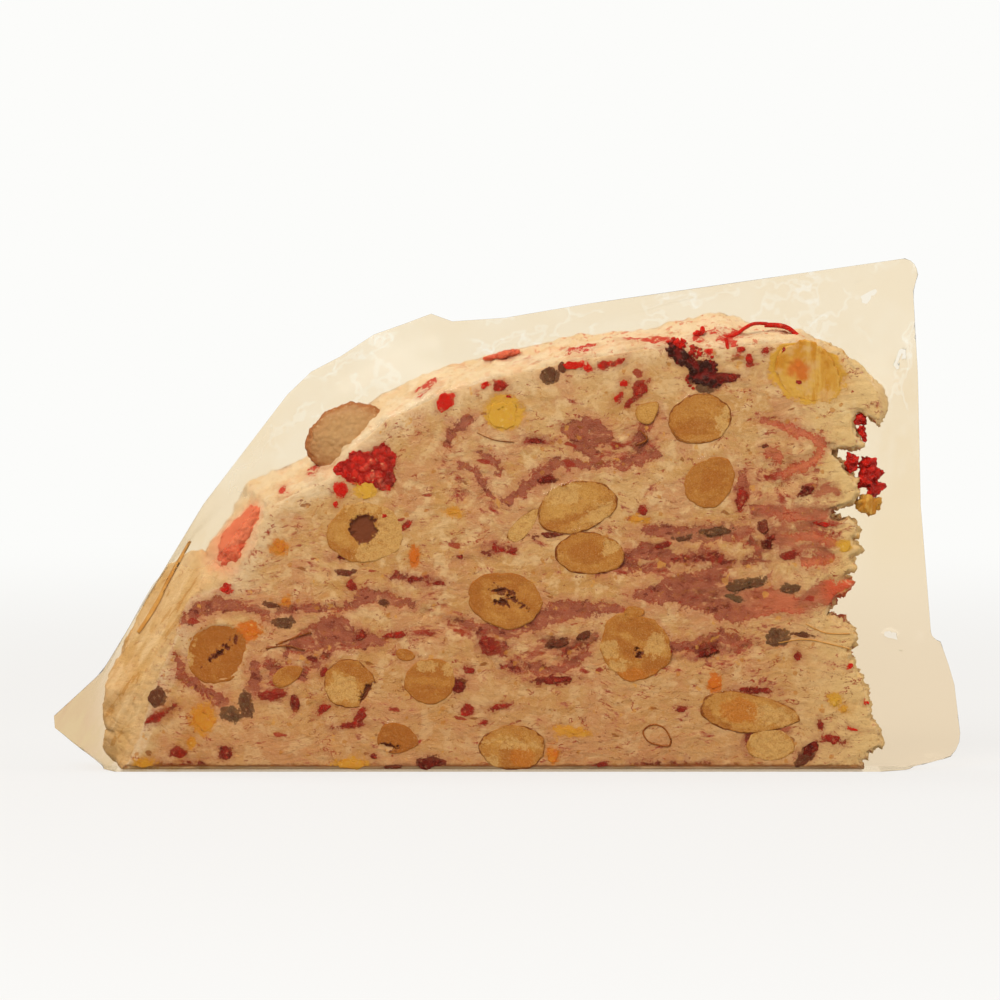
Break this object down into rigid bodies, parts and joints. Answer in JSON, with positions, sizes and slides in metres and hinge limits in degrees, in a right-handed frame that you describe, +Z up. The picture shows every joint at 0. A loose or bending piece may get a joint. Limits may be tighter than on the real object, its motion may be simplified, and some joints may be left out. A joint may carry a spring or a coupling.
{
  "type": "nougat slice",
  "caption": "Thick slice of domed fruit and nut nougat cake in a clear film bag, standing on its flat base.",
  "frame": {"origin": "middle of the base on the surface the slice stands on", "axes": "+X along the slice from its sloping end to its torn end, +Y from the front cut to the back cut, +Z up"},
  "size_m": [0.202, 0.019, 0.1136],
  "materials": {
    "film": "clear cream-tinted film, softly creased, lying flat on both cuts and folded thin round them",
    "nougat": "soft cream nougat, torn and porous, with pink and purple berry smears",
    "nut_flesh": "cut hazelnuts and almonds, golden and slightly waxy",
    "nut_skin": "thin brown nut skin, matt and wrinkled",
    "berry": "freeze-dried red berry, bright and crumbly",
    "dark_fruit": "dark dried berry bits, nearly black to wine red",
    "candied_fruit": "candied yellow and orange fruit, moist and slightly clear"
  },
  "bodies": {
    "root": {"wrapped_slice": "film"}
  },
  "joints": []
}
